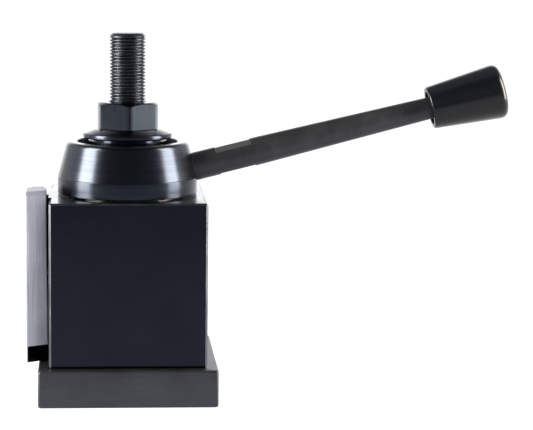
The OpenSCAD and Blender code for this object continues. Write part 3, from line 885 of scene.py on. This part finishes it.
# %% Floor, room and lamps
def quad_light(name, azimuth, rise, distance, wide, high, watts, colour, gib_link):
    """A soft lamp aimed at the post. Azimuth is measured from the camera's side, positive to the right.

    `gib_link` says whether the gibs are left out of its light ("EXCLUDE") or are all it lights ("INCLUDE").
    """
    data = bpy.data.lights.new(name, "AREA")
    data.shape, data.size, data.size_y, data.energy = "RECTANGLE", wide, high, watts
    data.color = linear(colour)[:3]
    lamp = bpy.data.objects.new(name, data)
    a, e = math.radians(azimuth), math.radians(rise)
    target = Vector((0, 0, body_top * MM))
    away = Vector((math.sin(a) * math.cos(e), -math.cos(a) * math.cos(e), math.sin(e)))
    lamp.location = target + away * distance
    lamp.rotation_euler = away.to_track_quat("Z", "Y").to_euler()
    lamp.visible_camera = False
    scene.collection.objects.link(lamp)
    lit = bpy.data.collections.new(name + "_lights")
    for gib in gibs:
        lit.objects.link(gib)
    lamp.light_linking.receiver_collection = lit
    for entry in lit.collection_objects:
        entry.light_linking.link_state = gib_link
    return lamp


# In this order: azimuth, rise, distance, width, height, watts, colour, and what it does with the gibs
quad_light("lamp_left", -76, 18, 0.8, 0.37, 0.7, 36, "#fff7e4", "EXCLUDE")
quad_light("lamp_right", 81, 18, 0.8, 0.34, 0.7, 26, "#fff7e4", "EXCLUDE")
quad_light("lamp_for_gibs", 2, 12, 0.8, 0.8, 0.4, 4, "#eef2ff", "INCLUDE")

world = bpy.data.worlds.new("studio_room")
scene.world = world
world.use_nodes = True
room = world.node_tree
room.nodes.clear()
direction = add(room, "TexCoord").outputs["Generated"]
depth = add(room, "SeparateXYZ", {0: direction}).outputs["Y"]
share = add(room, "MapRange", {"Value": depth, "From Min": -1.0, "From Max": 1.0}).outputs[0]
walls_at = add(room, "ValToRGB", {"Fac": share})
ramp = walls_at.color_ramp
# Share of the way from straight in front of the post (0), past the sides (0.5), to straight behind it (1)
wall_stops = ((0.0, 0.3), (0.36, 0.3), (0.47, 2.6), (0.7, 2.2), (0.9, 0.9), (1.0, 0.7))
brightest = max(value for _, value in wall_stops)
ceiling_from, ceiling_to, ceiling_level = 0.4, 0.7, 0.5
for at, value in wall_stops:
    stop = ramp.elements.new(at) if 0 < at < 1 else ramp.elements[int(at)]
    stop.color = (value / brightest,) * 3 + (1,)
steepness = add(room, "SeparateXYZ", {0: direction}).outputs["Z"]
upward = add(
    room,
    "MapRange",
    {
        "Value": steepness,
        "From Min": ceiling_from,
        "From Max": ceiling_to,
        "To Min": brightest,
        "To Max": ceiling_level,
    },
).outputs[0]
brightness = add(room, "Math", {0: walls_at.outputs[0], 1: upward}, operation="MULTIPLY").outputs[0]
looking = add(room, "LightPath").outputs["Is Camera Ray"]
level = add(room, "Mix", {"Factor": looking, "A": brightness, "B": 1.0}, data_type="FLOAT").outputs[0]
walls = add(room, "Background", {"Color": linear("#fdfdff"), "Strength": level})
add(room, "OutputWorld", {"Surface": walls.outputs[0]})

# The floor lies a hair below the plate, so that their two faces don't fight for the same place
floor_reach, floor_front, floor_z = 6.0, 0.75, -5e-5
floor_corners = [
    (-floor_reach, -floor_front, floor_z),
    (floor_reach, -floor_front, floor_z),
    (floor_reach, floor_reach, floor_z),
    (-floor_reach, floor_reach, floor_z),
]
floor_mesh = bpy.data.meshes.new("floor")
floor_mesh.from_pydata(floor_corners, [], [(0, 1, 2, 3)])
floor = bpy.data.objects.new("floor", floor_mesh)
scene.collection.objects.link(floor)
pale, tree = new_material("pale_studio_floor")
place = add(tree, "TexCoord").outputs["Object"]
grain = add(tree, "TexNoise", {"Vector": place, "Scale": 3.0, "Detail": 2.0}).outputs["Fac"]
tint = add(tree, "ValToRGB", {"Fac": grain})
tint.color_ramp.elements[0].color = linear("#606062")
tint.color_ramp.elements[1].color = linear("#646466")
finish_with(
    tree, Base_Color=tint.outputs[0], Roughness=0.9, Emission_Color=linear("#fbfcff"), Emission_Strength=0.88
)
floor.data.materials.append(pale)
print("lamps:", len(bpy.data.lights), "floor ends", floor_front, "m in front")

# %% [markdown]
# ## The camera
# A long lens from about a metre away flattens the perspective, the way a catalogue picture is taken. The
# camera looks slightly down and slightly to the right, and its sensor is shifted sideways a little, as with
# a view camera, to place the object in the frame. Its three axes are worked out from yaw, pitch and roll
# and put into a rotation matrix.

# %% The camera
camera_at = Vector((-0.0152, -0.9222, 0.2136))
yaw, pitch, roll = (math.radians(v) for v in (3.359, 8.228, 0.45))
forward = Vector((math.sin(yaw) * math.cos(pitch), math.cos(yaw) * math.cos(pitch), -math.sin(pitch)))
level_right = Vector((math.cos(yaw), -math.sin(yaw), 0))
level_up = level_right.cross(forward)
right = math.cos(roll) * level_right + math.sin(roll) * level_up
up = -math.sin(roll) * level_right + math.cos(roll) * level_up
lens = bpy.data.cameras.new("camera")
lens.lens, lens.sensor_width, lens.shift_x = 138.94, 36.0, 0.1
lens.clip_start, lens.clip_end = 0.05, 50.0
camera = bpy.data.objects.new("camera", lens)
camera.matrix_world = Matrix.Translation(camera_at) @ Matrix(
    (right, up, -forward)
).transposed().to_4x4()
scene.collection.objects.link(camera)
scene.camera = camera
scene.view_settings.view_transform = "Standard"
scene.view_settings.look = "None"
print("camera at", [round(v, 3) for v in camera_at], "m with a", lens.lens, "mm lens")
